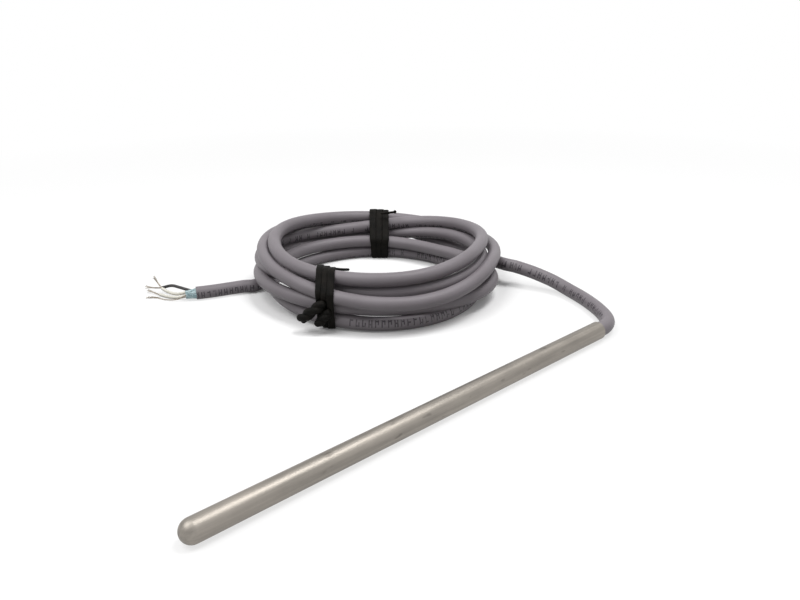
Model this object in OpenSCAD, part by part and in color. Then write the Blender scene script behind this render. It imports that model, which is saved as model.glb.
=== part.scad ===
// Resistance temperature probe: a closed steel sheath with a ceramic element in its tip,
// and a screened three-core lead that is wound into a tied coil and ends in stripped wires.
// The sheath lies along X on the surface z = 0, with its sensing tip at -X.

/* [Sheath] */
// Outer diameter of the sheath
sheath_d = 6; // [5.6:0.1:9]
// Wall of the sheath tube
sheath_wall = 0.4; // [0.3:0.05:0.45]
// Length of the sheath, over the domed tip
sheath_l = 150; // [120:5:300]
// Thickness of the closed tip
tip_wall = 0.8; // [0.5:0.1:2]
// Bevel of the open rim
rim_bevel = 0.15; // [0.05:0.05:0.25]

/* [Element] */
// Diameter of the ceramic rod
element_d = 2.8; // [2.4:0.1:3.4]
// Length of the ceramic rod
element_l = 15; // [10:1:25]
// Space from the inside of the tip to the rod
element_gap = 1.5; // [0.5:0.5:5]
// Diameter of the two bores in the rod
element_bore_d = 0.8; // [0.6:0.05:0.9]
// Distance between the two bores
element_bore_pitch = 1.3; // [1.1:0.1:1.4]
// Diameter of each platinum winding
winding_d = 0.7; // [0.4:0.05:0.75]
// Length of the glass bead that seals the rod
glaze_l = 1.2; // [0.6:0.1:3]
// Diameter of each element lead
element_lead_d = 0.35; // [0.2:0.05:0.5]
// Length of each element lead past the glass bead
element_lead_l = 10; // [7:1:20]
// Length of the powder fill past the glass bead
fill_over = 2; // [1:0.5:4]

/* [Splices] */
// Wall of each crimp barrel
crimp_wall = 0.2; // [0.15:0.05:0.25]
// Length of each crimp barrel
crimp_l = 5; // [4:0.5:8]
// Depth of the wires in the crimp barrel
crimp_grip = 2; // [1.5:0.25:2]
// Wall of each insulating sleeve
sleeve_wall = 0.2; // [0.1:0.05:0.25]
// Length of sleeve past each end of its barrel
sleeve_over = 1.5; // [0.5:0.5:2]
// Bare copper between a core's insulation and its crimp
core_bare_l = 4; // [3:0.5:8]

/* [Cable] */
// Outer diameter of the cable
cable_d = 5; // [4.4:0.1:5.1]
// Diameter of each insulated core
core_d = 1.2; // [1:0.05:1.4]
// Diameter of the copper in each core
copper_d = 0.6; // [0.4:0.05:0.65]
// Wall of the foil screen
foil_wall = 0.1; // [0.05:0.05:0.2]
// Diameter of the bare drain wire
drain_d = 0.5; // [0.3:0.05:0.6]
// Length of jacket inside the mouth of the sheath
jacket_in = 20; // [10:1:30]
// Length of the resin seal behind the jacket
seal_l = 15; // [5:1:30]
// Length of foil past the cut jacket
foil_end_l = 3; // [2:0.5:5]

/* [Coil] */
// Mean radius of the coil
coil_r = 42; // [38:1:60]
// Width of the bundle of turns
bundle_w = 16; // [14:0.5:20]
// Height of the bundle of turns
bundle_h = 20; // [16:0.5:24]
// Radius of the bundle's edges
bundle_edge = 6; // [3:0.5:7]
// Number of sides of the swept cord
cord_sides = 12; // [8:1:12]

/* [Ties] */
// Thickness of each tie
tie_t = 1; // [0.6:0.1:1.5]
// How far each tie pulls the bundle in
tie_pull = 0.6; // [0.2:0.1:1]
// Angle of the coil that the front tie covers
front_tie_arc = 9; // [6:1:14]
// Angle of the coil that the back tie covers
back_tie_arc = 12; // [6:1:16]
// Diameter of a tie's twisted end
twist_d = 2.6; // [1.6:0.2:3]
// Diameter of the knot that the twisted end grows from
knot_d = 3.4; // [2.8:0.2:4]
// Gap between the coil and the twisted end
twist_gap = 0.3; // [0.2:0.1:1]
// Diameter of a tie's loose end
tie_tail_d = 0.9; // [0.6:0.1:1.2]

/* [Fits] */
// Radial clearance of parts that seat in each other
seat = 0.02; // [0.01:0.01:0.04]
// Radial clearance of the cable in the sheath
cable_fit = 0.1; // [0.02:0.01:0.1]
// Clearance between the coil and its ties
tie_fit = 0.1; // [0.05:0.05:0.3]

/* [Hidden] */
$fn = 48;
eps = 0.01;

// sheath, measured along X
tip_x = -sheath_l / 2;
mouth_x = sheath_l / 2;
sheath_r = sheath_d / 2;
bore_r = sheath_r - sheath_wall;
axis_z = sheath_r;

// element, from the tip inwards
element_x0 = tip_x + tip_wall + element_gap;
element_x1 = element_x0 + element_l;
glaze_x1 = element_x1 + glaze_l;
fill_x1 = glaze_x1 + fill_over;
fill_r = bore_r - seat;
lead_end_x = glaze_x1 + element_lead_l;
winding_l = element_l - 2 * element_gap;

// splices: the single one first, the double one just past it
bore_web = 0.06;
single_r = copper_d / 2 + seat + crimp_wall;
double_pitch = copper_d + 2 * seat + bore_web;
double_r = double_pitch / 2 + copper_d / 2 + seat + crimp_wall;
single_y = -(single_r + sleeve_wall + 2 * seat);
double_y = double_r + sleeve_wall + 2 * seat;
crimp_x0 = lead_end_x - crimp_grip;
crimp_x1 = crimp_x0 + crimp_l;
core_x0 = crimp_x1 - crimp_grip + core_bare_l;
straight = 0.6;
wire_sides = 8;

// cable inside the sheath
jacket_x0 = mouth_x - jacket_in;
seal_x0 = jacket_x0 - seal_l;
cable_r = cable_d / 2;
core_ring = core_d / sqrt(3) + 2 * seat;
screen_r = core_ring + core_d / 2 + seat + foil_wall;

// coil and ties
coil_x = 54;
coil_y = 88;
coil_fn = 96;
front_tie_at = -157.5;
back_tie_at = 49;
waist_w = bundle_w - 2 * tie_pull;
waist_h = bundle_h - 2 * tie_t - tie_fit;
waist_edge = bundle_edge - tie_pull;
waist_z = tie_t + tie_fit;
band_r = coil_r + waist_w / 2 + tie_fit + tie_t;
twist_r = coil_r + bundle_w / 2 + twist_gap + twist_d / 2;
twist_top_z = 8;
twist_low_z = 3.5;
twist_turn = 10;
loose_turn = 10;
loose_rise = 0.4;
band_end = 0.2;

// route of the lead from the mouth of the sheath up to the coil
lead_route = [
    [mouth_x, 0, axis_z], [79, 0.2, 2.9], [83.5, 2, 2.7], [87.5, 5.5, 2.5], [91, 10.5, 2.5],
    [94, 16, 2.5], [96.5, 22, 2.6], [98.5, 29, 2.9], [98.8, 35.8, 4.2], [98, 40, 5.2],
    [96.8, 44, 6.2], [95.5, 48.2, 7], [94.2, 52.5, 7.6], [92.5, 56.5, 8]
];
// route of the tail from the coil to the cut jacket
tail_route = [
    [17.5, 118.2, 2.5], [12, 120, 2.5], [6.5, 121.8, 2.5], [1.5, 123.5, 2.5], [-2, 124.9, 2.5],
    [-5.5, 126.5, 2.5]
];
// routes of the stripped wires, from the cut jacket to their tips
white_a_route = [
    [-5.5, 126.5, 1.8], [-8.3, 128.1, 1.7], [-11, 131, 0.9], [-13, 134.5, 0.6], [-14.5, 139.5, 0.6]
];
white_b_route = [
    [-5.2, 126.8, 3.0], [-8.2, 128.6, 2.9], [-10.8, 132.3, 1.9], [-12.2, 136.5, 1.9],
    [-12.8, 140.5, 2.4]
];
black_route = [
    [-4.6, 127.6, 2.3], [-7.2, 130.2, 3.3], [-8.6, 134, 3.6], [-9.8, 138.5, 3.4], [-12.2, 142.5, 2.0]
];
drain_route = [
    [-5.9, 125.6, 2.6], [-8.6, 126.9, 2.8], [-12.2, 129.4, 0.9], [-15, 133.5, 0.4],
    [-16.6, 138, 0.4], [-19.5, 141, 0.4]
];
white_a_tip = [[-14.5, 139.5, 0.6], [-15.2, 142.5, 0.6], [-16.6, 146.2, 0.6]];
white_b_tip = [[-12.8, 140.5, 2.4], [-13, 143, 3.9], [-13.6, 145.5, 6.4]];
black_tip = [[-12.2, 142.5, 2.0], [-14.2, 145.5, 1.5], [-16, 149.5, 1.4]];

steel = [0.66, 0.64, 0.60];
ceramic = [0.93, 0.92, 0.88];
platinum = [0.80, 0.80, 0.82];
copper = [0.78, 0.76, 0.72];
jacket_grey = [0.52, 0.50, 0.53];
core_white = [0.90, 0.88, 0.82];
core_black = [0.10, 0.09, 0.09];
foil_blue = [0.62, 0.80, 0.86];
tie_black = [0.10, 0.10, 0.09];
resin = [0.20, 0.16, 0.12];
crimp_metal = [0.75, 0.72, 0.62];
sleeve_clear = [0.85, 0.85, 0.80];
powder = [0.95, 0.95, 0.94];
glass = [0.70, 0.80, 0.75];

// ---- helpers ----

// a solid round bar along X at a height and side of the sheath's axis
module bar(x0, x1, d, y = 0, z = 0) {
    translate([x0, y, axis_z + z])
        rotate([0, 90, 0])
            cylinder(h = x1 - x0, d = d);
}

// a tube along X
module pipe(x0, x1, od, id, y = 0, z = 0) {
    difference() {
        bar(x0, x1, od, y, z);
        bar(x0 - eps, x1 + eps, id, y, z);
    }
}

// a straight round rod between two points
module rod(from, to, d) {
    step = to - from;
    translate(from)
        rotate([0, acos(step[2] / norm(step)), atan2(step[1], step[0])])
            cylinder(h = norm(step), d = d);
}

function unit(v) = v / norm(v);

// tangent of a route at point i
function heading(p, i) =
    unit(p[min(i + 1, len(p) - 1)] - p[max(i - 1, 0)]);

// one ring of a swept tube, square to its heading
function ring(centre, along, r, sides) =
    let (side = unit(cross(along, [0, 0, 1])), up = cross(side, along))
    [for (k = [0 : sides - 1])
        centre + r * (cos(360 * k / sides) * side + sin(360 * k / sides) * up)];

// a closed tube swept along the points of a route
module sweep(p, d, sides, first = undef) {
    n = len(p);
    rings = [for (i = [0 : n - 1])
        each ring(p[i], i == 0 && first != undef ? first : heading(p, i), d / 2, sides)];
    walls = [for (i = [0 : n - 2], k = [0 : sides - 1])
        [i * sides + k, i * sides + (k + 1) % sides,
            (i + 1) * sides + (k + 1) % sides, (i + 1) * sides + k]];
    start_cap = [[for (k = [sides - 1 : -1 : 0]) k]];
    end_cap = [[for (k = [0 : sides - 1]) (n - 1) * sides + k]];
    polyhedron(points = rings, faces = concat(start_cap, walls, end_cap), convexity = 6);
}

// outline of the bundle of turns, its foot at the height z0
module bundle_outline(w, h, edge, z0) {
    translate([coil_r, z0])
        union() {
            translate([-w / 2 + edge, 0])
                square([w - 2 * edge, h]);
            translate([-w / 2, edge])
                square([w, h - 2 * edge]);
            for (x = [-w / 2 + edge, w / 2 - edge], z = [edge, h - edge])
                translate([x, z])
                    circle(r = edge);
        }
}

// a slice of the coil's ring, centred on an angle
module coil_slice(at, arc) {
    translate([coil_x, coil_y, 0])
        rotate([0, 0, at - arc / 2])
            rotate_extrude(angle = arc, $fn = coil_fn)
                children();
}

// the space that a tie takes from the bundle
module tie_cut(at, arc) {
    difference() {
        coil_slice(at, arc)
            translate([coil_r - bundle_w, -eps])
                square([2 * bundle_w, bundle_h + 2 * eps]);
        coil_slice(at, arc)
            bundle_outline(waist_w, waist_h, waist_edge, waist_z);
    }
}

// the wound band of a tie
module tie_band(at, arc) {
    coil_slice(at, arc - 2 * band_end)
        difference() {
            bundle_outline(waist_w + 2 * (tie_fit + tie_t), waist_h + 2 * tie_fit + 2 * tie_t,
                waist_edge + tie_fit + tie_t, waist_z - tie_fit - tie_t);
            bundle_outline(waist_w + 2 * tie_fit, waist_h + 2 * tie_fit,
                waist_edge + tie_fit, waist_z - tie_fit);
        }
}

// a point by its angle, distance from the coil's centre and height
function on_coil(at, r, z) = [coil_x + r * cos(at), coil_y + r * sin(at), z];

// ---- sheath ----

// half profile of a bar with a round foot, along Y from its foot to its top
module domed_profile(r, foot, top) {
    difference() {
        union() {
            translate([0, foot + r])
                circle(r = r);
            translate([0, foot + r])
                square([r, top - foot - r]);
        }
        translate([-2 * r, foot - r])
            square([2 * r, 2 * sheath_l]);
    }
}

module sheath_tube() color(steel)
    translate([tip_x, 0, axis_z])
        rotate([0, 90, 0])
            rotate_extrude()
                difference() {
                    union() {
                        domed_profile(sheath_r, 0, sheath_l - rim_bevel);
                        translate([0, sheath_l - rim_bevel])
                            polygon([[0, 0], [sheath_r, 0], [sheath_r - rim_bevel, rim_bevel],
                                [0, rim_bevel]]);
                    }
                    domed_profile(bore_r, tip_wall, sheath_l + eps);
                }

// ---- element ----

module element_body() color(ceramic)
    difference() {
        bar(element_x0, element_x1, element_d);
        for (side = [-1, 1])
            bar(element_x0 + element_gap, element_x1 + eps, element_bore_d,
                side * element_bore_pitch / 2);
    }

module winding(side)
    bar(element_x0 + element_gap + seat, element_x0 + element_gap + winding_l, winding_d,
        side * element_bore_pitch / 2);

module winding_a() color(platinum)
    winding(-1);

module winding_b() color(platinum)
    winding(1);

module element_glaze() color(glass)
    difference() {
        bar(element_x1 + seat, glaze_x1, element_d - 2 * rim_bevel);
        for (side = [-1, 1])
            bar(element_x1, glaze_x1 + eps, element_lead_d + 2 * seat,
                side * element_bore_pitch / 2);
    }

// an element lead runs straight out of its bore, then across to its crimp
module element_lead(side, crimp_y)
    sweep([
        [element_x0 + element_gap + winding_l + seat, side * element_bore_pitch / 2, axis_z],
        [fill_x1 + straight, side * element_bore_pitch / 2, axis_z],
        [crimp_x0 - straight, crimp_y, axis_z],
        [lead_end_x - seat, crimp_y, axis_z]
    ], element_lead_d, wire_sides);

module element_lead_a() color(platinum)
    element_lead(-1, single_y);

module element_lead_b() color(platinum)
    element_lead(1, double_y);

// alumina powder packed round the element
module powder_fill() color(powder)
    difference() {
        intersection() {
            bar(tip_x, fill_x1, 2 * fill_r);
            union() {
                translate([tip_x + tip_wall + seat + fill_r, 0, axis_z])
                    sphere(r = fill_r);
                bar(tip_x + tip_wall + seat + fill_r, fill_x1 + eps, 2 * fill_r + eps);
            }
        }
        bar(element_x0 - seat, glaze_x1 + seat, element_d + 2 * seat);
        for (side = [-1, 1])
            bar(glaze_x1, fill_x1 + 2 * eps, element_lead_d + 2 * seat, side * element_bore_pitch / 2);
    }

// ---- splices ----

module crimp_single() color(crimp_metal)
    difference() {
        bar(crimp_x0, crimp_x1, 2 * single_r, single_y);
        bar(crimp_x0 - eps, lead_end_x + seat, element_lead_d + 2 * seat, single_y);
        bar(crimp_x1 - crimp_grip, crimp_x1 + eps, copper_d + 2 * seat, single_y);
    }

module crimp_double() color(crimp_metal)
    difference() {
        bar(crimp_x0, crimp_x1, 2 * double_r, double_y);
        bar(crimp_x0 - eps, lead_end_x + seat, element_lead_d + 2 * seat, double_y);
        for (side = [-1, 1])
            bar(crimp_x1 - crimp_grip, crimp_x1 + eps, copper_d + 2 * seat, double_y,
                side * double_pitch / 2);
    }

module sleeve(r, y)
    pipe(crimp_x0 - sleeve_over, crimp_x1 + sleeve_over, 2 * (r + seat + sleeve_wall),
        2 * (r + seat), y);

module sleeve_single() color(sleeve_clear)
    sleeve(single_r, single_y);

module sleeve_double() color(sleeve_clear)
    sleeve(double_r, double_y);

// ---- cores inside the sheath ----

// places of the three cores round the cable's axis
function core_at(k) = [core_ring * cos(120 * k + 180), core_ring * sin(120 * k + 180)];

module core(k)
    pipe(core_x0, mouth_x, core_d, copper_d + 2 * seat, core_at(k)[0], core_at(k)[1]);

// a core's copper, from its crimp to the mouth of the sheath
module core_copper(k, crimp_y, crimp_z) {
    here = core_at(k);
    sweep([
        [crimp_x1 - crimp_grip + seat, crimp_y, axis_z + crimp_z],
        [crimp_x1 + straight, crimp_y, axis_z + crimp_z],
        [core_x0 - straight, here[0], axis_z + here[1]],
        [mouth_x, here[0], axis_z + here[1]]
    ], copper_d, wire_sides);
}

module core_white_a() color(core_white)
    core(1);

module core_white_b() color(core_white)
    core(2);

module core_black() color(core_black)
    core(0);

module copper_white_a() color(copper)
    core_copper(1, double_y, -double_pitch / 2);

module copper_white_b() color(copper)
    core_copper(2, double_y, double_pitch / 2);

module copper_black() color(copper)
    core_copper(0, single_y, 0);

// resin that seals the cores and stops the jacket
module resin_seal() color(resin)
    difference() {
        bar(seal_x0, jacket_x0 - seat, 2 * (bore_r - seat));
        for (k = [0 : 2])
            bar(seal_x0 - eps, jacket_x0 + eps, core_d + 2 * seat, core_at(k)[0], core_at(k)[1]);
    }

module jacket_root() color(jacket_grey)
    pipe(jacket_x0, mouth_x, 2 * min(cable_r, bore_r - cable_fit), 2 * (screen_r + seat));

module screen_root() color(foil_blue)
    pipe(jacket_x0, mouth_x, 2 * screen_r, 2 * (screen_r - foil_wall));

// ---- cable outside the sheath ----

module cable_lead() color(jacket_grey)
    sweep(lead_route, cable_d, cord_sides, [1, 0, 0]);

module cable_coil() color(jacket_grey)
    difference() {
        translate([coil_x, coil_y, 0])
            rotate_extrude($fn = coil_fn)
                bundle_outline(bundle_w, bundle_h, bundle_edge, 0);
        tie_cut(front_tie_at, front_tie_arc);
        tie_cut(back_tie_at, back_tie_arc);
    }

module cable_tail() color(jacket_grey)
    sweep(tail_route, cable_d, cord_sides);

// ---- stripped end ----

jacket_end = tail_route[len(tail_route) - 1];
jacket_out = heading(tail_route, len(tail_route) - 1);

module foil_end() color(foil_blue)
    translate(jacket_end)
        rotate([0, 90, atan2(jacket_out[1], jacket_out[0])])
            difference() {
                cylinder(h = foil_end_l, r = screen_r);
                translate([0, 0, -eps])
                    cylinder(h = foil_end_l + 2 * eps, r = screen_r - foil_wall);
            }

module end_white_a() color(core_white)
    sweep(white_a_route, core_d, wire_sides);

module end_white_b() color(core_white)
    sweep(white_b_route, core_d, wire_sides);

module end_black() color(core_black)
    sweep(black_route, core_d, wire_sides);

module end_drain() color(copper)
    sweep(drain_route, drain_d, wire_sides);

module tinned_white_a() color(copper)
    sweep(white_a_tip, copper_d, wire_sides);

module tinned_white_b() color(copper)
    sweep(white_b_tip, copper_d, wire_sides);

module tinned_black() color(copper)
    sweep(black_tip, copper_d, wire_sides);

// ---- ties ----

module front_tie() color(tie_black) {
    tie_band(front_tie_at, front_tie_arc);
    rod(on_coil(front_tie_at, band_r - tie_t / 2, twist_top_z),
        on_coil(front_tie_at, twist_r + knot_d / 2, twist_top_z), knot_d);
    rod(on_coil(front_tie_at, twist_r, twist_top_z),
        on_coil(front_tie_at - twist_turn, twist_r, twist_low_z), twist_d);
}

module back_tie() color(tie_black) {
    tie_band(back_tie_at, back_tie_arc);
    rod(on_coil(back_tie_at, coil_r, bundle_h - tie_t / 2),
        on_coil(back_tie_at - loose_turn, coil_r, bundle_h + loose_rise), tie_tail_d);
}

sheath_tube();
element_body();
winding_a();
winding_b();
element_glaze();
element_lead_a();
element_lead_b();
powder_fill();
crimp_single();
crimp_double();
sleeve_single();
sleeve_double();
core_white_a();
core_white_b();
core_black();
copper_white_a();
copper_white_b();
copper_black();
resin_seal();
jacket_root();
screen_root();
cable_lead();
cable_coil();
cable_tail();
foil_end();
end_white_a();
end_white_b();
end_black();
end_drain();
tinned_white_a();
tinned_white_b();
tinned_black();
front_tie();
back_tie();
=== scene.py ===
import bpy
from math import atan2, cos, degrees, pi, radians, sin, sqrt, tau
from mathutils import Matrix, Vector


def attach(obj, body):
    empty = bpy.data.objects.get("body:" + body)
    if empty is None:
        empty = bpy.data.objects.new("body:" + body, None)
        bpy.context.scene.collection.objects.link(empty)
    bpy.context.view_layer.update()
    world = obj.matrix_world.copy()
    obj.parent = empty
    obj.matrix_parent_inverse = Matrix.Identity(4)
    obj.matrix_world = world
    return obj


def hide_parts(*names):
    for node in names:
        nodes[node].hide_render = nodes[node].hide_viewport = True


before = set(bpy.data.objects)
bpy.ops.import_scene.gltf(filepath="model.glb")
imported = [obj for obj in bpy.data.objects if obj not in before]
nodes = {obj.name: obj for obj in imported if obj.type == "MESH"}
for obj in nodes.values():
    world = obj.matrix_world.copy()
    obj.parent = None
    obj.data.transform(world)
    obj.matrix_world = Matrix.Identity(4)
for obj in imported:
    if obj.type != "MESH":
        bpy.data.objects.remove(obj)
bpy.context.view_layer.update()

print("frame loaded:", len(nodes), "nodes")

view = {
    "place": (-0.1218, -0.1237, 0.1055),  # metres
    "heading": 48.56,  # degrees from +X, anticlockwise
    "down": 22.08,
    "roll": -0.96,
    "lens": 33.17,
    "clipStart": 0.01,
}


def addCamera():
    heading, down, roll = (radians(view[key]) for key in ("heading", "down", "roll"))
    forward = Vector((cos(down) * cos(heading), cos(down) * sin(heading), -sin(down)))
    level = Vector((sin(heading), -cos(heading), 0))
    upright = level.cross(forward)
    right = level * cos(roll) + upright * sin(roll)
    up = upright * cos(roll) - level * sin(roll)
    data = bpy.data.cameras.new("camera")
    data.lens = view["lens"]
    data.clip_start = view["clipStart"]
    camera = bpy.data.objects.new("camera", data)
    turned = Matrix((right, up, -forward)).transposed().to_4x4()
    camera.matrix_world = Matrix.Translation(view["place"]) @ turned
    bpy.context.scene.collection.objects.link(camera)
    bpy.context.scene.camera = camera


addCamera()
print("camera placed")

mm = 0.001  # routes and sizes of the pieces are in millimetres, the scene is in metres
almostUp = Vector((0.02, 0.01, 1))  # no wire runs along it, so a side can be taken from it
creaseAngle = 50  # degrees; sharper edges stay sharp


def inMetres(points):
    return [Vector(p) * mm for p in points]


def smoothPath(points, cuts):
    # a curve through every point, each span cut into equal parts
    points = [Vector(p) for p in points]
    ends = [2 * points[0] - points[1]] + points + [2 * points[-1] - points[-2]]
    path = []
    for a, b, c, d in zip(ends, ends[1:], ends[2:], ends[3:]):
        for step in range(cuts):
            t = step / cuts
            path.append(0.5 * (2 * b + (c - a) * t + (2 * a - 5 * b + 4 * c - d) * t ** 2
                               + (3 * b - a - 3 * c + d) * t ** 3))
    path.append(points[-1])
    return path


def runs(path):
    # how far along each point lies
    far = [0.0]
    for a, b in zip(path, path[1:]):
        far.append(far[-1] + (b - a).length)
    return far


def evenPath(path, gap):
    # the same path with its points about the same distance apart
    far = runs(path)
    count = max(2, round(far[-1] / gap))
    even = []
    at = 0
    for step in range(count + 1):
        goal = far[-1] * step / count
        while at < len(path) - 2 and far[at + 1] < goal:
            at += 1
        share = (goal - far[at]) / max(far[at + 1] - far[at], 1e-9)
        even.append(path[at].lerp(path[at + 1], share))
    return even


def route(points, gap, cuts=8):
    # through points in millimetres, with a ring about every gap
    return evenPath(smoothPath(inMetres(points), cuts), gap * mm)


def headings(path):
    last = len(path) - 1
    return [(path[min(i + 1, last)] - path[max(i - 1, 0)]).normalized() for i in range(last + 1)]


def circle(radius, count, turn=0.0):
    return [(radius * cos(turn + tau * k / count), radius * sin(turn + tau * k / count))
            for k in range(count)]


def sweep(name, path, section, sides):
    # section(i) gives the outline at point i as (sideways, outward) pairs
    rings = [section(i) for i in range(len(path))]
    far = runs(path)
    count = len(rings[0])
    vertices, faces, corners = [], [], []
    for point, ahead, side, ring in zip(path, headings(path), sides, rings):
        side = (side - ahead * side.dot(ahead)).normalized()
        out = ahead.cross(side)
        vertices += [point + side * x + out * y for x, y in ring]
    for i in range(len(path) - 1):
        for k in range(count):
            n = (k + 1) % count
            faces.append((i * count + k, i * count + n, (i + 1) * count + n, (i + 1) * count + k))
            corners += [(k / count, far[i]), ((k + 1) / count, far[i]),
                        ((k + 1) / count, far[i + 1]), (k / count, far[i + 1])]
    last = (len(path) - 1) * count
    faces.append(tuple(reversed(range(count))))
    corners += [(0.0, 0.0)] * count
    faces.append(tuple(last + k for k in range(count)))
    corners += [(0.0, far[-1])] * count
    mesh = bpy.data.meshes.new(name)
    mesh.from_pydata(vertices, [], faces)
    layer = mesh.uv_layers.new(name="along")
    for loop, corner in zip(layer.data, corners):
        loop.uv = corner
    piece = bpy.data.objects.new(name, mesh)
    bpy.context.scene.collection.objects.link(piece)
    selectOnly(piece)
    bpy.ops.object.shade_smooth_by_angle(angle=radians(creaseAngle))
    return piece


def selectOnly(*pieces):
    bpy.ops.object.select_all(action="DESELECT")
    for piece in pieces:
        piece.select_set(True)
    bpy.context.view_layer.objects.active = pieces[0]


def rod(name, path, diameter, sides, blunt=False, flat=0.12):
    # a round rod along a path; blunt ends are rounded down to a small flat
    radius = diameter * mm / 2
    far = runs(path)

    def section(i):
        if not blunt:
            return circle(radius, sides)
        near = min(far[i], far[-1] - far[i], radius) / radius
        return circle(radius * max(flat, sqrt(1 - (1 - near) ** 2)), sides)

    return sweep(name, path, section, [almostUp] * len(path))


def joined(name, parts):
    selectOnly(*parts)
    bpy.ops.object.join()
    parts[0].name = name
    parts[0].data.name = name
    return parts[0]


def belongs(piece, slot, *replaced):
    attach(piece, "root")
    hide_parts(*replaced)


lead = {
    "diameter": 5,
    "sides": 24,
    "ringGap": 1.8,
    "outOfSheath": [
        (75, 0, 3), (79, 0.2, 2.9), (83.5, 2, 2.7), (87.5, 5.5, 2.5), (91, 10.5, 2.5), (94, 16, 2.5),
        (96.5, 22, 2.6), (98.5, 29, 2.9), (98.8, 35.8, 4.2), (98, 40, 5.2), (96.8, 44, 6.2),
        (95.5, 48.2, 7), (94.2, 52.5, 7.6), (92.5, 56.5, 8),
    ],
    "tail": [
        (17.5, 118.2, 2.5), (12, 120, 2.5), (6.5, 121.8, 2.5), (1.5, 123.5, 2.5), (-2, 124.9, 2.5),
        (-5.5, 126.5, 2.5),
    ],
    # which way the print faces, by degrees of winding: 0 towards the coil's middle, -90 down
    "printTurns": [
        (15, 22), (60, -40), (700, -60), (800, -50), (822, -15), (890, -10), (930, -50),
        (1390, -60), (1450, -150), (1540, -150), (1610, -75), (1680, -80), (1712, -200),
        (1785, -202), (1850, -340), (1885, -345), (1920, -415), (1960, -415), (1990, -365),
    ],
}
coil = {
    "centre": (54, 88),
    "startAngle": -56.5,
    "pointsPerTurn": 24,
    # degrees of winding where the lead has joined and where the tail leaves
    "from": 45,
    "to": 1965,
    # radius and height of the lead's middle, six places to a turn
    "turns": [
        [(51, 7), (46, 5), (51, 13), (46, 17.5), (42, 14), (47, 11)],
        [(44.5, 13.5), (50.5, 12), (46, 16.5), (41, 20.5), (38.5, 18), (40, 17.5)],
        [(39, 18.5), (46, 16), (42, 12.5), (48, 12.5), (36.5, 12), (39.5, 12.5)],
        [(40, 12.5), (43, 11.5), (44, 7.5), (47, 8), (43.5, 9), (41, 7)],
        [(45, 6.5), (34, 7), (37.5, 7.5), (41.5, 7.5), (41.5, 4), (43, 2.5)],
        [(39, 2.5), (36, 2.5), (38, 2.5), (40.5, 2.5)],
    ],
}


def coilPath():
    places = [(radius, height, 0) for turn in coil["turns"] for radius, height in turn]
    perPlace = coil["pointsPerTurn"] // len(coil["turns"][0])
    path = []
    for i, (radius, height, _) in enumerate(smoothPath(places, perPlace)):
        winding = i * 360 / coil["pointsPerTurn"]
        if coil["from"] <= winding <= coil["to"]:
            angle = radians(coil["startAngle"] + winding)
            path.append((coil["centre"][0] + radius * cos(angle),
                         coil["centre"][1] + radius * sin(angle), height))
    return path


leadPath = route(lead["outOfSheath"] + coilPath() + lead["tail"], lead["ringGap"])
leadLength = runs(leadPath)[-1]


def tableAt(table, at):
    # the value between two rows, eased at both
    for (low, first), (high, second) in zip(table, table[1:]):
        if at < high:
            share = min(max((at - low) / (high - low), 0), 1)
            return first + (second - first) * share * share * (3 - 2 * share)
    return table[-1][1]


def printSides():
    # the side that the print is on, at each point of the lead
    centre = Vector((*coil["centre"], 0)) * mm
    sides = []
    winding = 0.0
    for point, ahead in zip(leadPath, headings(leadPath)):
        spoke = point - centre
        now = degrees(atan2(spoke.y, spoke.x)) - coil["startAngle"]
        winding += (now - winding + 180) % 360 - 180
        inner = Vector((0, 0, 1)).cross(ahead).normalized()
        up = ahead.cross(inner)
        turn = radians(tableAt(lead["printTurns"], winding))
        sides.append(inner * cos(turn) + up * sin(turn))
    return sides


def addLead():
    # the seam is turned away from the print
    ring = circle(lead["diameter"] * mm / 2, lead["sides"], pi)
    piece = sweep("lead", leadPath, lambda i: ring, printSides())
    belongs(piece, "cable_jacket", "cable_lead", "cable_coil", "cable_tail")
    return piece


leadPiece = addLead()
print("lead:", round(leadLength, 3), "m")

ties = {
    "gap": 0.1,  # between the lead and the ribbon
    "floorGap": 0.05,  # between the ribbon and the floor
    "bundle": 16,  # strands further out than this aren't held
    "planes": 12,  # on each side of the tie's middle, a quarter of the ribbon apart
    "step": 6,  # degrees
    "ringGap": 0.5,
    "moveOver": 0.72,  # share of a turn after which the ribbon moves to the next winding
    "crown": (0.3, 1.12),  # how far out the ribbon is thickest, and how much thicker, as shares
    "twist": 1.3,  # turns of a twisted pair
    "endGap": 0.3,
    "endSides": 12,
    "front": {
        "node": "front_tie",
        "place": (16.7, 71.7),
        "heading": 226.7,  # outwards, in the plane that the ribbon is wound in
        "ribbon": (2.4, 0.6),  # width and thickness
        "windings": [-2.1, 0.1, 2.2],
        "squeeze": 0.85,  # width at the bottom, as a share of the width at the top
        "start": -50,  # degrees round the bundle: 0 is outwards, 90 is up
        # thickness, spread of a twisted pair, points
        "ends": [
            (2.7, 0.7, [(12.6, 66.9, 10.6), (9.6, 68.2, 9.2), (7.4, 70.4, 6.9), (6.2, 73.4, 4.4)]),
            (2.6, 0.5, [(13.4, 65.6, 8), (11.4, 65.9, 6.4), (10, 66.8, 4.8), (9.2, 67.8, 3.4)]),
            (1.0, 0, [(21, 75.3, 19.2), (23.2, 74, 18.6), (25.2, 72.8, 18.2), (27.2, 71.6, 18)]),
        ],
    },
    "back": {
        "node": "back_tie",
        "place": (81.6, 119.7),
        "heading": 49,
        "ribbon": (2.9, 0.8),
        "windings": [-2.8, 0.1, 2.9],
        "squeeze": 0.7,
        "start": 90,
        "ends": [
            (1.0, 0, [(81.5, 118.6, 18.6), (83, 116.6, 19), (84.4, 114.8, 19.3), (85.5, 113.4, 19.6)]),
            (1.7, 0, [(85, 114, 19.5), (85.5, 113.4, 19.6), (85.9, 112.9, 19.7)]),
        ],
    },
}


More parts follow.
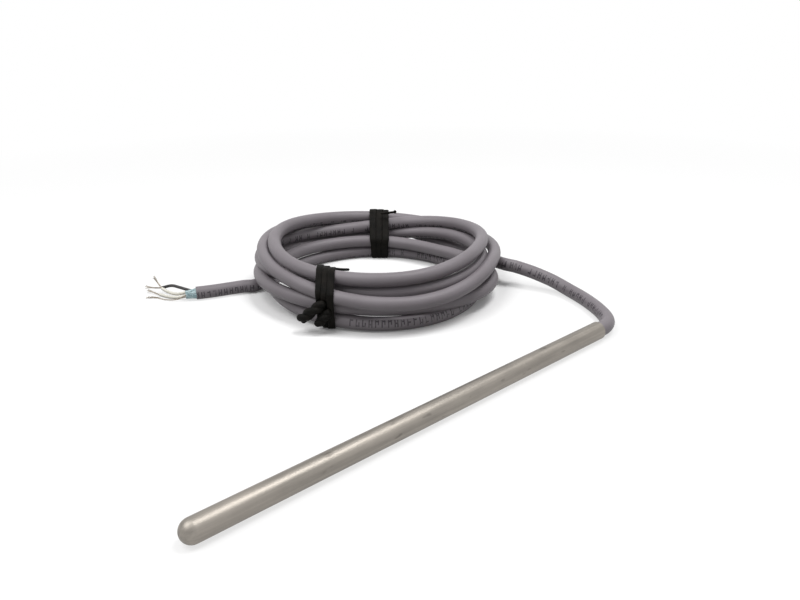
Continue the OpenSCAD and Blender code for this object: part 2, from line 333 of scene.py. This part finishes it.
def crossings(place, outward, normal, offset):
    # where the lead passes through a tie's plane, as outward and height pairs
    found = []
    for a, b in zip(leadPath, leadPath[1:]):
        before = (a - place).dot(normal) - offset
        after = (b - place).dot(normal) - offset
        if before * after < 0:
            point = a.lerp(b, before / (before - after))
            if abs((point - place).dot(outward)) < ties["bundle"] * mm:
                found.append(((point - place).dot(outward), point.z))
    return found


def windingOffset(tie, turn, angle):
    # how far the ribbon lies to the side of the tie's place
    windings = tie["windings"]
    slot, part = int(turn), turn % 1
    after = windings[min(slot + 1, len(windings) - 1)]
    moved = max(0, part - ties["moveOver"]) / (1 - ties["moveOver"])
    lean = (1 + sin(angle)) / 2
    narrowed = tie["squeeze"] + (1 - tie["squeeze"]) * lean
    return (windings[slot] + (after - windings[slot]) * moved) * narrowed * mm


def tiePath(tie):
    place = Vector((*tie["place"], 0)) * mm
    heading = radians(tie["heading"])
    outward = Vector((cos(heading), sin(heading), 0))
    normal = Vector((-sin(heading), cos(heading), 0))
    width, thickness = (size * mm for size in tie["ribbon"])
    reach = (lead["diameter"] / 2 + ties["gap"]) * mm + thickness / 2
    apart = width / 4
    planes = range(-ties["planes"], ties["planes"] + 1)
    table = {k: crossings(place, outward, normal, k * apart) for k in planes}
    path = []
    turns = len(tie["windings"])
    for degree in range(0, 360 * turns + 1, ties["step"]):
        angle = radians(tie["start"] + degree)
        offset = windingOffset(tie, min(degree / 360, turns - 1e-6), angle)
        near = round(offset / apart)
        strands = [s for k in range(near - 2, near + 3) for s in table[k]]
        x, z = max(strands, key=lambda s: s[0] * cos(angle) + s[1] * sin(angle))
        x += reach * cos(angle)
        z = max(z + reach * sin(angle), thickness / 2 + ties["floorGap"] * mm)
        path.append(place + outward * x + normal * offset + Vector((0, 0, z)))
    return evenPath(path, ties["ringGap"] * mm), normal


def ribbonSection(width, thickness):
    # a flat band with round edges, a little thicker in its middle
    edge = thickness / 2
    flat = width / 2 - edge
    where, crown = ties["crown"]
    outline = []
    for centre, first in ((flat, -90), (-flat, 90)):
        for k in range(5):
            angle = radians(first + 45 * k)
            outline.append((centre + edge * cos(angle), edge * sin(angle)))
        outline.append((centre * where, edge * crown if centre > 0 else -edge * crown))
    return outline


def twisted(line, phase, spread):
    # one of a pair that lies round the line
    own = []
    for i, (point, ahead) in enumerate(zip(line, headings(line))):
        side = almostUp.cross(ahead).normalized()
        angle = tau * (phase + ties["twist"] * i / len(line))
        own.append(point + (side * cos(angle) + ahead.cross(side) * sin(angle)) * spread * mm)
    return own


def addTie(name, tie):
    path, normal = tiePath(tie)
    outline = ribbonSection(*(size * mm for size in tie["ribbon"]))
    parts = [sweep(name, path, lambda i: outline, [normal] * len(path))]
    for thickness, spread, points in tie["ends"]:
        line = route(points, ties["endGap"])
        pair = (twisted(line, 0, spread), twisted(line, 0.5, spread)) if spread else (line,)
        for own in pair:
            parts.append(rod(name + str(len(parts)), own, thickness, ties["endSides"], True))
    piece = joined(name, parts)
    belongs(piece, "tie_black", tie["node"])
    return piece


frontTie = addTie("frontTie", ties["front"])
backTie = addTie("backTie", ties["back"])
print("ties wound")

foil = {
    "from": (-4.9, 126.2, 2.4),
    "to": (-9.1, 128.1, 2.3),
    "flare": 2.15,  # radius at the cut jacket
    "end": 1.5,  # radius at its far end
    "taper": 0.7,  # below 1 it narrows early
    "sides": 22,
    "cuts": 3,
    "crumple": 0.2,
    "seed": 5,
    "wall": 0.06,
}


def addFoil():
    first, last = inMetres([foil["from"], foil["to"]])
    length = (last - first).length
    bpy.ops.object.select_all(action="DESELECT")
    bpy.ops.mesh.primitive_cylinder_add(
        vertices=foil["sides"], radius=foil["flare"] * mm, depth=length, end_fill_type="NOTHING",
        location=(first + last) / 2, rotation=(last - first).to_track_quat("Z", "Y").to_euler())
    piece = bpy.context.active_object
    piece.name = "screenFoil"
    bpy.ops.object.mode_set(mode="EDIT")
    bpy.ops.mesh.select_all(action="SELECT")
    bpy.ops.mesh.subdivide(number_cuts=foil["cuts"])
    bpy.ops.transform.vertex_random(offset=foil["crumple"] * mm, seed=foil["seed"])
    bpy.ops.object.mode_set(mode="OBJECT")
    bpy.ops.object.transform_apply(location=True, rotation=True, scale=True)
    ahead = (last - first).normalized()
    for vertex in piece.data.vertices:
        share = min(max((vertex.co - first).dot(ahead) / length, 0), 1)
        axis = first + ahead * (vertex.co - first).dot(ahead)
        size = 1 + (foil["end"] / foil["flare"] - 1) * share ** foil["taper"]
        vertex.co = axis + (vertex.co - axis) * size
    selectOnly(piece)
    wall = piece.modifiers.new("wall", "SOLIDIFY")
    wall.thickness = foil["wall"] * mm
    bpy.ops.object.modifier_apply(modifier=wall.name)
    belongs(piece, "foil", "foil_end")
    return piece


foilPiece = addFoil()

wires = {
    "core": 1.2,
    "coreSides": 14,
    "ringGap": 0.4,
    "strands": 6,  # round one in the middle
    "strandSides": 6,
    "partFrom": 0.55,  # share of the length after which the strands part
    "least": 0.4,  # how far the one that parts least goes, as a share of the spread
    # slot, node, points
    "routes": {
        "whiteWireA": ("core_white", "end_white_a", [
            (-5.5, 126.5, 1.8), (-8.3, 128.1, 1.7), (-11, 131, 0.9), (-13, 134.5, 0.6),
            (-14.5, 139.5, 0.6)]),
        "whiteWireB": ("core_white", "end_white_b", [
            (-5.2, 126.8, 3.0), (-8.2, 128.6, 2.9), (-10.8, 132.3, 1.9), (-12.2, 136.5, 1.9),
            (-12.8, 140.5, 2.4)]),
        "blackWire": ("core_black", "end_black", [
            (-4.6, 127.6, 2.3), (-7.2, 130.2, 3.3), (-8.6, 134, 3.6), (-9.8, 138.5, 3.4),
            (-12.2, 142.5, 2.0)]),
    },
    # node, strand diameter, bundle radius, turns of twist, spread at the end, points
    "bare": {
        "drainWire": ("end_drain", 0.17, 0.165, 9, 0.5, [
            (-5.9, 125.6, 2.6), (-8.6, 126.9, 2.8), (-12.2, 129.4, 0.9), (-15, 133.5, 0.4),
            (-16.6, 138, 0.4), (-19.5, 141, 0.4)]),
        "bareWhiteA": ("tinned_white_a", 0.2, 0.2, 1.6, 1.1, [
            (-14.4, 139.2, 0.6), (-14.9, 141, 0.6), (-15.6, 143.4, 0.9), (-16.6, 146.2, 1.2)]),
        "bareWhiteB": ("tinned_white_b", 0.2, 0.2, 1.6, 1.0, [
            (-12.75, 140.2, 2.4), (-12.9, 142, 3.1), (-13.2, 143.8, 4.6), (-13.6, 145.5, 6.4)]),
        "bareBlack": ("tinned_black", 0.2, 0.2, 1.6, 1.1, [
            (-12, 142.2, 2.1), (-13.2, 144.2, 1.8), (-14.4, 146.4, 1.6), (-16, 149.5, 1.6)]),
    },
}


def addWire(name, slot, node, points):
    piece = rod(name, route(points, wires["ringGap"]), wires["core"], wires["coreSides"])
    belongs(piece, slot, node)
    return piece


def parting(k, share):
    # how far strand k has left the bundle, as a share of the spread; the strands differ
    count = wires["strands"]
    own = wires["least"] + (1 - wires["least"]) * ((k * 5) % count) / count
    return own * (2 * max(0, share - wires["partFrom"])) ** 2


def addStrands(name, node, diameter, bundle, turns, spread, points):
    # fine strands laid round one another, which part towards the end
    path = route(points, wires["ringGap"])
    count = wires["strands"]
    last = len(path) - 1
    parts = [rod(name, path, diameter, wires["strandSides"])]
    for k in range(count):
        own = []
        for i, (point, ahead) in enumerate(zip(path, headings(path))):
            share = i / last
            side = almostUp.cross(ahead).normalized()
            up = ahead.cross(side)
            angle = tau * (k / count + turns * share)
            out = (bundle + spread * parting(k, share)) * mm
            moved = point + side * cos(angle) * out + up * sin(angle) * out
            moved.z = max(moved.z, diameter * 0.6 * mm)  # just clear of the floor
            own.append(moved)
        keep = len(own) - (k * 3) % 5  # the strands end at different lengths
        parts.append(rod(name + str(k), own[:keep], diameter, wires["strandSides"]))
    piece = joined(name, parts)
    belongs(piece, "tinned_copper", node)
    return piece


wirePieces = {name: addWire(name, *values) for name, values in wires["routes"].items()}
barePieces = {name: addStrands(name, *values) for name, values in wires["bare"].items()}
print("stripped end made")


class Value:
    # a socket that takes part in expressions, each of which adds its Math node
    def __init__(self, paint, made, output):
        self.paint, self.made, self.socket = paint, made, made.outputs[output]

    def out(self, name):
        return Value(self.paint, self.made, name)

    def math(self, operation, *terms):
        return self.paint.node("ShaderNodeMath", {"operation": operation}, terms)

    def __add__(self, other):
        return self.math("ADD", self, other)

    def __radd__(self, other):
        return self.math("ADD", other, self)

    def __sub__(self, other):
        return self.math("SUBTRACT", self, other)

    def __rsub__(self, other):
        return self.math("SUBTRACT", other, self)

    def __mul__(self, other):
        return self.math("MULTIPLY", self, other)

    def __rmul__(self, other):
        return self.math("MULTIPLY", other, self)

    def __truediv__(self, other):
        return self.math("DIVIDE", self, other)

    def __rtruediv__(self, other):
        return self.math("DIVIDE", other, self)

    def __lt__(self, other):
        return self.math("LESS_THAN", self, other)

    def __gt__(self, other):
        return self.math("GREATER_THAN", self, other)

    def floored(self):
        return self.math("FLOOR", self)

    def fraction(self):
        return self.math("FRACT", self)

    def size(self):
        return self.math("ABSOLUTE", self)

    def sine(self):
        return self.math("SINE", self)

    def root(self):
        return self.math("SQRT", self)

    def near(self, middle, half):
        return (self - middle).size() < half

    def clamped(self):
        return self.math("MINIMUM", self.math("MAXIMUM", self, 0.0), 1.0)


class Paint:
    # the nodes of one material or world
    def __init__(self, tree):
        self.tree = tree
        self.shader = tree.nodes.get("Principled BSDF")

    def node(self, kind, settings=None, inputs=(), output=0):
        made = self.tree.nodes.new(kind)
        for key, value in (settings or {}).items():
            setattr(made, key, value)
        pairs = inputs.items() if isinstance(inputs, dict) else enumerate(inputs)
        for key, value in pairs:
            self.join(value, made.inputs[key])
        return Value(self, made, output)

    def join(self, value, socket):
        if isinstance(value, Value):
            self.tree.links.new(value.socket, socket)
        elif isinstance(value, tuple) and socket.type == "RGBA":
            socket.default_value = (*value, 1)
        else:
            socket.default_value = value

    def feed(self, name, value):
        self.join(value, self.shader.inputs[name])

    def here(self, scale=(1, 1, 1), turn=(0, 0, 0)):
        spot = self.node("ShaderNodeTexCoord", output="Object")
        return self.node("ShaderNodeMapping", {}, {"Vector": spot, "Scale": scale, "Rotation": turn})

    def apart(self, vector):
        parts = self.node("ShaderNodeSeparateXYZ", {}, (vector,))
        return parts, parts.out(1), parts.out(2)

    def along(self):
        # across and along a swept piece, from its own map
        across, far, _ = self.apart(self.node("ShaderNodeUVMap", {"uv_map": "along"}))
        return across, far

    def noise(self, spot, scale, detail=3.0, roughness=0.55):
        return self.node("ShaderNodeTexNoise", {}, {
            "Vector": spot, "Scale": scale, "Detail": detail, "Roughness": roughness})

    def chance(self, number):
        return self.node("ShaderNodeTexWhiteNoise", {"noise_dimensions": "1D"}, {"W": number})

    def blend(self, factor, low, high):
        return self.node("ShaderNodeMix", {"data_type": "RGBA"}, {0: factor, 6: low, 7: high}, 2)

    def bump(self, height, strength, depth):
        # depth in millimetres
        self.feed("Normal", self.node("ShaderNodeBump", {}, {
            "Height": height, "Strength": strength, "Distance": depth * mm}))


def newPaint(name, **constants):
    material = bpy.data.materials.new(name)
    material.use_nodes = True
    paint = Paint(material.node_tree)
    paint.material = material
    for key, value in constants.items():
        paint.feed(key.replace("_", " "), value)
    return paint


def dress(paint, *pieces):
    for piece in pieces:
        if not piece.data.materials:
            piece.data.materials.append(None)
        for i in range(len(piece.data.materials)):
            piece.data.materials[i] = paint.material


jacket = {
    "colour": (0.164, 0.146, 0.158),
    "pale": (0.218, 0.198, 0.214),
    "noise": (45, 260, 1400),  # scales of the clouds, the scuffs and the grain
    "roughness": 0.42,
    "relief": (0.15, 0.06),  # strength and depth of the bump, as in every finish
}
marks = {
    "ink": (0.022, 0.018, 0.024),
    "cover": 0.85,
    "wear": 520,  # scale of the noise that thins the ink
    "pitch": 2.1,
    "half": 0.085,  # half the height of the marks, as a share of the way round
    # middle and half width, as shares of the pitch
    "firstBar": (0.22, 0.09),
    "secondBar": (0.64, 0.1),
    "dash": (0.43, 0.26),
    "dashHalf": 0.22,  # half the dash's height, as a share of "half"
    "dashRange": 1.6,  # the dash's middle lies by chance within this much of the height, which is 2
    "cut": -0.12,  # nearer 0 cuts more off the second bar, above or below by chance
    "alone": 0.35,  # places whose chance is lower have no second bar
    "empty": 0.2,  # and below this they have no mark
}


def jacketMarks(paint, across, far, spot):
    # one row of short upright ticks, with gaps between the groups
    cell = far / (marks["pitch"] * mm)
    first = paint.chance(cell.floored())
    second = paint.chance(cell.floored() + 71.5)
    inCell = cell.fraction()
    level = (across - 0.5) / marks["half"]
    tall = level.size() < 1
    short = tall * ((level * (second - 0.5)) > marks["cut"])
    bars = inCell.near(*marks["firstBar"]) * tall
    bars = bars + inCell.near(*marks["secondBar"]) * short * (first > marks["alone"])
    dashLevel = (second - 0.5) * marks["dashRange"]
    dash = inCell.near(*marks["dash"]) * level.near(dashLevel, marks["dashHalf"])
    worn = (paint.noise(spot, marks["wear"], 2) * 2.4 - 0.3).clamped()
    return (bars + dash * tall).clamped() * (first > marks["empty"]) * worn * marks["cover"]


def jacketPaint(name, marked):
    paint = newPaint(name, Specular_IOR_Level=0.4)
    spot = paint.here()
    clouds, scuffing, grains = jacket["noise"]
    cloud = paint.noise(spot, clouds, 4)
    scuffs = (paint.noise(spot, scuffing, 3, 0.7) * 5 - 3.1).clamped()
    grain = paint.noise(spot, grains, 2)
    colour = paint.blend((cloud * 1.8 - 0.4).clamped(), jacket["colour"], jacket["pale"])
    colour = paint.blend(scuffs * 0.35, colour, jacket["pale"])
    if marked:
        across, far = paint.along()
        ink = jacketMarks(paint, across, far, spot)
        colour = paint.blend(ink, colour, marks["ink"])
    paint.feed("Base Color", colour)
    paint.feed("Roughness", jacket["roughness"] + grain * 0.14 + scuffs * 0.1)
    paint.bump(grain + scuffs * 0.5, *jacket["relief"])
    return paint


dress(jacketPaint("leadJacket", True), leadPiece)
dress(jacketPaint("innerJacket", False), nodes["jacket_root"])

sheath = {
    "steel": (0.345, 0.315, 0.28),
    "dark": (0.2, 0.185, 0.165),
    "scuff": (0.09, 0.08, 0.07),
    # scales of the noise along and across the sheath
    "streaks": (14, 700, 700),
    "blotches": (90, 260, 260),
    "grain": (900, 2600, 2600),
    "scuffs": (130, 420, 420),
    "scuffTurn": (0, 0, 0.4),
    "roughness": 0.36,
    "relief": (0.3, 0.06),
}


def sheathPaint():
    paint = newPaint("satinSteel", Metallic=1.0)
    streaks = paint.noise(paint.here(sheath["streaks"]), 1.0, 4, 0.6)
    blotches = paint.noise(paint.here(sheath["blotches"]), 1.0, 3)
    grain = paint.noise(paint.here(sheath["grain"]), 1.0, 2)
    scuffSpot = paint.here(sheath["scuffs"], sheath["scuffTurn"])
    scuffs = (paint.noise(scuffSpot, 1.0, 2) * 8 - 5.2).clamped()
    mottled = (streaks * 1.6 + blotches * 0.9 - 0.75).clamped()
    colour = paint.blend(mottled, sheath["dark"], sheath["steel"])
    colour = paint.blend(scuffs * 0.75, colour, sheath["scuff"])
    paint.feed("Base Color", colour)
    paint.feed("Roughness", sheath["roughness"] + blotches * 0.12 + streaks * 0.08)
    paint.bump(streaks * 0.6 + grain * 0.4, *sheath["relief"])
    return paint


dress(sheathPaint(), nodes["sheath_tube"])

tieFinish = {
    "colour": (0.0025, 0.0025, 0.002),
    "worn": (0.014, 0.012, 0.01),
    "cloud": 300,
    "ribs": (180, 9000),  # how closely they follow one another across and along the ribbon
    "roughness": 0.48,
    "relief": (0.35, 0.15),
}


def tiePaint():
    paint = newPaint("tieBlack", Specular_IOR_Level=0.07)
    across, far = paint.along()
    cloud = paint.noise(paint.here(), tieFinish["cloud"], 4, 0.65)
    acrossRibs, alongRibs = tieFinish["ribs"]
    ribs = (across * acrossRibs).sine() * 0.5 + (far * alongRibs).sine() * 0.25
    worn = (cloud * 2.6 - 1.0 + ribs * 0.3).clamped()
    paint.feed("Base Color", paint.blend(worn, tieFinish["colour"], tieFinish["worn"]))
    paint.feed("Roughness", tieFinish["roughness"] + cloud * 0.2)
    paint.bump(cloud + ribs * 0.5, *tieFinish["relief"])
    return paint


dress(tiePaint(), frontTie, backTie)

foilFinish = {
    "blue": (0.17, 0.26, 0.285),
    "bright": (0.4, 0.49, 0.5),
    # painted shade: the colour laid along the creases, standing in for the shade that falls in them
    "paintedCreaseShade": (0.07, 0.1, 0.11),
    "creases": 1300,
    "cloud": 700,
    "roughness": 0.26,
    "relief": (0.6, 0.3),
}


def foilPaint():
    paint = newPaint("paleBlueFoil", Metallic=0.75)
    spot = paint.here()
    creases = paint.node("ShaderNodeTexVoronoi", {"feature": "DISTANCE_TO_EDGE"}, {
        "Vector": spot, "Scale": foilFinish["creases"]})
    cloud = paint.noise(spot, foilFinish["cloud"], 3)
    colour = paint.blend((cloud * 2.2 - 0.6).clamped(), foilFinish["blue"], foilFinish["bright"])
    # painted shade: the foil is darkened along its creases
    colour = paint.blend((0.3 - creases * 3).clamped(), colour, foilFinish["paintedCreaseShade"])
    paint.feed("Base Color", colour)
    paint.feed("Roughness", foilFinish["roughness"] + cloud * 0.2)
    paint.bump(creases + cloud * 0.4, *foilFinish["relief"])
    return paint


dress(foilPaint(), foilPiece, nodes["screen_root"])

coreFinish = {
    "white": ((0.62, 0.6, 0.52), (0.78, 0.76, 0.69)),
    "black": ((0.012, 0.011, 0.012), (0.03, 0.026, 0.026)),
    "smudge": 420,
    "grain": 2600,
    "roughness": 0.3,
    "relief": (0.15, 0.05),
}


def corePaint(name, low, high):
    paint = newPaint(name, Specular_IOR_Level=0.5)
    spot = paint.here()
    smudge = paint.noise(spot, coreFinish["smudge"], 4)
    grain = paint.noise(spot, coreFinish["grain"], 2)
    paint.feed("Base Color", paint.blend((smudge * 2.4 - 0.7).clamped(), low, high))
    paint.feed("Roughness", coreFinish["roughness"] + smudge * 0.2)
    paint.bump(grain + smudge, *coreFinish["relief"])
    return paint


dress(corePaint("whiteCore", *coreFinish["white"]), wirePieces["whiteWireA"],
      wirePieces["whiteWireB"], nodes["core_white_a"], nodes["core_white_b"])
dress(corePaint("blackCore", *coreFinish["black"]), wirePieces["blackWire"], nodes["core_black"])

copperFinish = {
    "tin": (0.42, 0.39, 0.35),
    "dull": (0.2, 0.165, 0.125),
    "cloud": 900,
    "lay": (300, 6000, 6000),  # scale of the fine lines along and across
    "roughness": 0.32,
    "relief": (0.3, 0.05),
}


def copperPaint():
    paint = newPaint("tinnedCopper", Metallic=1.0)
    cloud = paint.noise(paint.here(), copperFinish["cloud"], 3)
    lay = paint.noise(paint.here(copperFinish["lay"]), 1.0, 2)
    colour = paint.blend((cloud * 2.4 - 0.7).clamped(), copperFinish["dull"], copperFinish["tin"])
    paint.feed("Base Color", colour)
    paint.feed("Roughness", copperFinish["roughness"] + cloud * 0.2)
    paint.bump(lay, *copperFinish["relief"])
    return paint


dress(copperPaint(), *barePieces.values(),
      nodes["copper_white_a"], nodes["copper_white_b"], nodes["copper_black"])

# what lies inside the sheath: nodes, two colours, roughness, metal, scale and depth of the grain
inner = {
    "aluminaRod": (("element_body",), (0.74, 0.72, 0.66), (0.86, 0.85, 0.8), 0.5, 0, 1500, 0.02),
    "platinumWire": (("element_lead_a", "element_lead_b"), (0.5, 0.49, 0.48), (0.66, 0.65, 0.64),
                     0.22, 1, 2200, 0.01),
    "glassBead": (("element_glaze",), (0.36, 0.5, 0.44), (0.5, 0.64, 0.57), 0.1, 0, 900, 0.03),
    "packedPowder": (("powder_fill",), (0.76, 0.75, 0.72), (0.9, 0.9, 0.88), 0.85, 0, 3200, 0.08),
    "tinnedBrass": (("crimp_single", "crimp_double"), (0.46, 0.4, 0.27), (0.62, 0.57, 0.45), 0.3, 1,
                    700, 0.05),
    "milkySleeve": (("sleeve_single", "sleeve_double"), (0.6, 0.6, 0.54), (0.74, 0.74, 0.69), 0.36,
                    0, 800, 0.03),
    "castResin": (("resin_seal",), (0.022, 0.015, 0.01), (0.05, 0.036, 0.024), 0.22, 0, 500, 0.04),
}


def innerPaint(name, low, high, roughness, metal, scale, depth):
    paint = newPaint(name, Metallic=float(metal))
    spot = paint.here()
    cloud = paint.noise(spot, scale * 0.3, 4)
    grain = paint.noise(spot, scale, 3, 0.6)
    paint.feed("Base Color", paint.blend((cloud * 2.2 - 0.6).clamped(), low, high))
    paint.feed("Roughness", roughness + grain * 0.14)
    paint.bump(grain + cloud * 0.5, 0.5, depth)
    return paint


for name, (dressed, *values) in inner.items():
    dress(innerPaint(name, *values), *(nodes[node] for node in dressed))

windingFinish = {
    "pitch": 0.09,
    "slant": 300,
    # painted shade: the dark colour laid in the grooves between the turns
    "grooveShade": (0.14, 0.135, 0.13),
    "wire": (0.6, 0.59, 0.58),
    "roughness": 0.2,
    "relief": (0.7, 0.04),
}


def windingPaint():
    # the turns of fine wire, side by side along the bore
    paint = newPaint("platinumWinding", Metallic=1.0)
    x, y, z = paint.apart(paint.here())
    turn = (x / (windingFinish["pitch"] * mm) + (y + z) * windingFinish["slant"]).fraction() - 0.5
    crown = 1 - turn * turn * 4
    # painted shade: the grooves between the turns are darkened, the crowns keep the wire's colour
    bright = paint.blend(crown.clamped(), windingFinish["grooveShade"], windingFinish["wire"])
    paint.feed("Base Color", bright)
    paint.feed("Roughness", windingFinish["roughness"] + paint.noise(paint.here(), 3000) * 0.15)
    paint.bump(crown, *windingFinish["relief"])
    return paint


dress(windingPaint(), nodes["winding_a"], nodes["winding_b"])
print("materials made")

# places and sizes in metres
stage = {
    "side": 6.0,
    "middle": (0.03, 0.06),
    "seenFloor": (0.97, 0.97, 0.97),  # the floor's colour to the camera
    "otherFloor": (0.28, 0.28, 0.28),  # and to the light that it throws back on the part
    "ownWhite": 0.66,  # share of plain white that is seen in the floor by the part
    # painted shade: the floor's own white is cut back in a ring under the coil, so the floor there
    # shows the coil's shadow darker
    "whiteInCoilShade": 0.05,  # the same share right under the coil
    "coilRing": (0.0415, 0.009, 0.008),  # its radius, half width and the width of the change
    "fadeFrom": 0.2,  # from the middle to where the floor starts to turn plain white
    "fadeOver": 0.25,
    "ambient": 0.38,
    "lamps": [
        # name, place, aim, side, power
        ("keyLamp", (-0.3, 0.2, 0.62), (0.02, 0.05, 0), 0.5, 2.7),
        ("fillLamp", (0.25, -0.62, 0.45), (0.02, 0.05, 0), 0.7, 0.5),
        ("sheenLamp", (0.2, -0.06, 0.6), (-0.03, 0, 0), 0.24, 2.0),
    ],
}


def seenDirectly(paint):
    path = paint.node("ShaderNodeLightPath", output="Is Camera Ray")
    return (path + path.out("Is Glossy Ray") + path.out("Is Transmission Ray")).clamped()


def mixShaders(paint, factor, first, second, output):
    mixed = paint.node("ShaderNodeMixShader", {}, {0: factor, 1: first, 2: second})
    paint.join(mixed, paint.tree.nodes[output].inputs[0])


def away(x, y, middle):
    # how far a spot on the floor is from the middle
    x = x - middle[0]
    y = y - middle[1]
    return (x * x + y * y).root()


def floorWhite(spot):
    # the floor's own white: plain far out, partly so by the part, least right under the coil, which
    # paints the shade under the coil deeper
    far = ((away(*spot, stage["middle"]) - stage["fadeFrom"]) / stage["fadeOver"]).clamped()
    own = stage["ownWhite"] + (1 - stage["ownWhite"]) * far
    radius, half, change = stage["coilRing"]
    spoke = away(*spot, [place * mm for place in coil["centre"]])
    clear = (((spoke - radius).size() - half) / change).clamped()
    return stage["whiteInCoilShade"] + (own - stage["whiteInCoilShade"]) * clear


def addFloor():
    bpy.ops.object.select_all(action="DESELECT")
    bpy.ops.mesh.primitive_plane_add(size=stage["side"], location=(0, 0, 0))
    ground = bpy.context.active_object
    ground.name = "floor"
    paint = newPaint("paleFloor", Specular_IOR_Level=0.0)
    seen = seenDirectly(paint)
    paint.feed("Base Color", paint.blend(seen, stage["otherFloor"], stage["seenFloor"]))
    paint.feed("Roughness", 0.9 + paint.noise(paint.here(), 30) * 0.1)
    white = paint.node("ShaderNodeEmission", {}, {"Color": (1, 1, 1), "Strength": 1.0})
    plain = Value(paint, paint.shader, 0)
    own = floorWhite(paint.apart(paint.here())[:2])
    mixShaders(paint, seen * own, plain, white, "Material Output")
    dress(paint, ground)


def addWorld():
    world = bpy.data.worlds.new("studio")
    bpy.context.scene.world = world
    world.use_nodes = True
    paint = Paint(world.node_tree)
    soft = paint.node("ShaderNodeBackground", {}, {"Color": (1, 1, 1), "Strength": stage["ambient"]})
    white = paint.node("ShaderNodeBackground", {}, {"Color": (1, 1, 1), "Strength": 1.0})
    mixShaders(paint, seenDirectly(paint), soft, white, "World Output")


def addLamps():
    for name, place, aim, side, power in stage["lamps"]:
        data = bpy.data.lights.new(name, "AREA")
        data.size = side
        data.energy = power
        lamp = bpy.data.objects.new(name, data)
        towards = Vector(aim) - Vector(place)
        turned = towards.to_track_quat("-Z", "Y").to_matrix().to_4x4()
        lamp.matrix_world = Matrix.Translation(place) @ turned
        bpy.context.scene.collection.objects.link(lamp)


addFloor()
addWorld()
addLamps()
bpy.context.scene.view_settings.view_transform = "Standard"
print("stage and lamps set")
